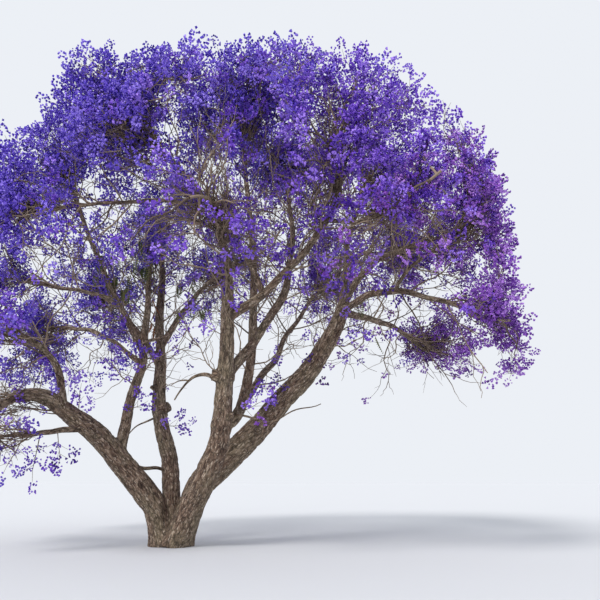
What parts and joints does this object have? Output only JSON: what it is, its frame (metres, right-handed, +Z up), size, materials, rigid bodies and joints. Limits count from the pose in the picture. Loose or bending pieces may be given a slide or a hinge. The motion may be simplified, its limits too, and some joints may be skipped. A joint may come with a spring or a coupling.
{
  "type": "jacaranda tree",
  "caption": "Jacaranda in full flower: a short thick trunk that forks near the ground, long leaning leaders, and a broad open crown of violet blossom.",
  "frame": {"origin": "middle of the flat cut under the trunk, at ground level", "axes": "+Z up, -Y to the side the tree was seen from, +X to the right as seen from there, the low left leader towards -X"},
  "size_m": [13.5135, 10.8495, 11.5946],
  "materials": {
    "bark": "rough grey-brown bark",
    "blossom": "matt violet blossom on thin brown twigs"
  },
  "bodies": {
    "root": {"back_bough": "bark", "back_bough_blossom": "blossom", "back_left_bough": "bark", "back_left_bough_blossom": "blossom", "back_right_bough": "bark", "back_right_bough_blossom": "blossom", "centre_leader": "bark", "centre_leader_blossom": "blossom", "crown_bough": "bark", "crown_bough_blossom": "blossom", "front_left_arm": "bark", "front_left_arm_blossom": "blossom", "front_left_bough": "bark", "front_left_bough_blossom": "blossom", "front_right_arm": "bark", "front_right_arm_blossom": "blossom", "front_right_bough": "bark", "front_right_bough_blossom": "blossom", "left_arm": "bark", "left_arm_blossom": "blossom", "left_back_bough": "bark", "left_back_bough_blossom": "blossom", "left_bough": "bark", "left_bough_blossom": "blossom", "left_front_bough": "bark", "left_front_bough_blossom": "blossom", "left_leader": "bark", "left_leader_blossom": "blossom", "left_low_bough": "bark", "left_low_bough_blossom": "blossom", "rear_left_leader": "bark", "rear_left_leader_blossom": "blossom", "rear_right_bough": "bark", "rear_right_bough_blossom": "blossom", "right_back_arm": "bark", "right_back_arm_blossom": "blossom", "right_bough": "bark", "right_bough_blossom": "blossom", "right_fork": "bark", "right_fork_blossom": "blossom", "right_front_arm": "bark", "right_front_arm_blossom": "blossom", "right_front_bough": "bark", "right_front_bough_blossom": "blossom", "right_leader": "bark", "right_low_bough": "bark", "right_low_bough_blossom": "blossom", "trunk": "bark", "upright_bough": "bark", "upright_bough_blossom": "blossom", "upright_leader": "bark"}
  },
  "joints": []
}
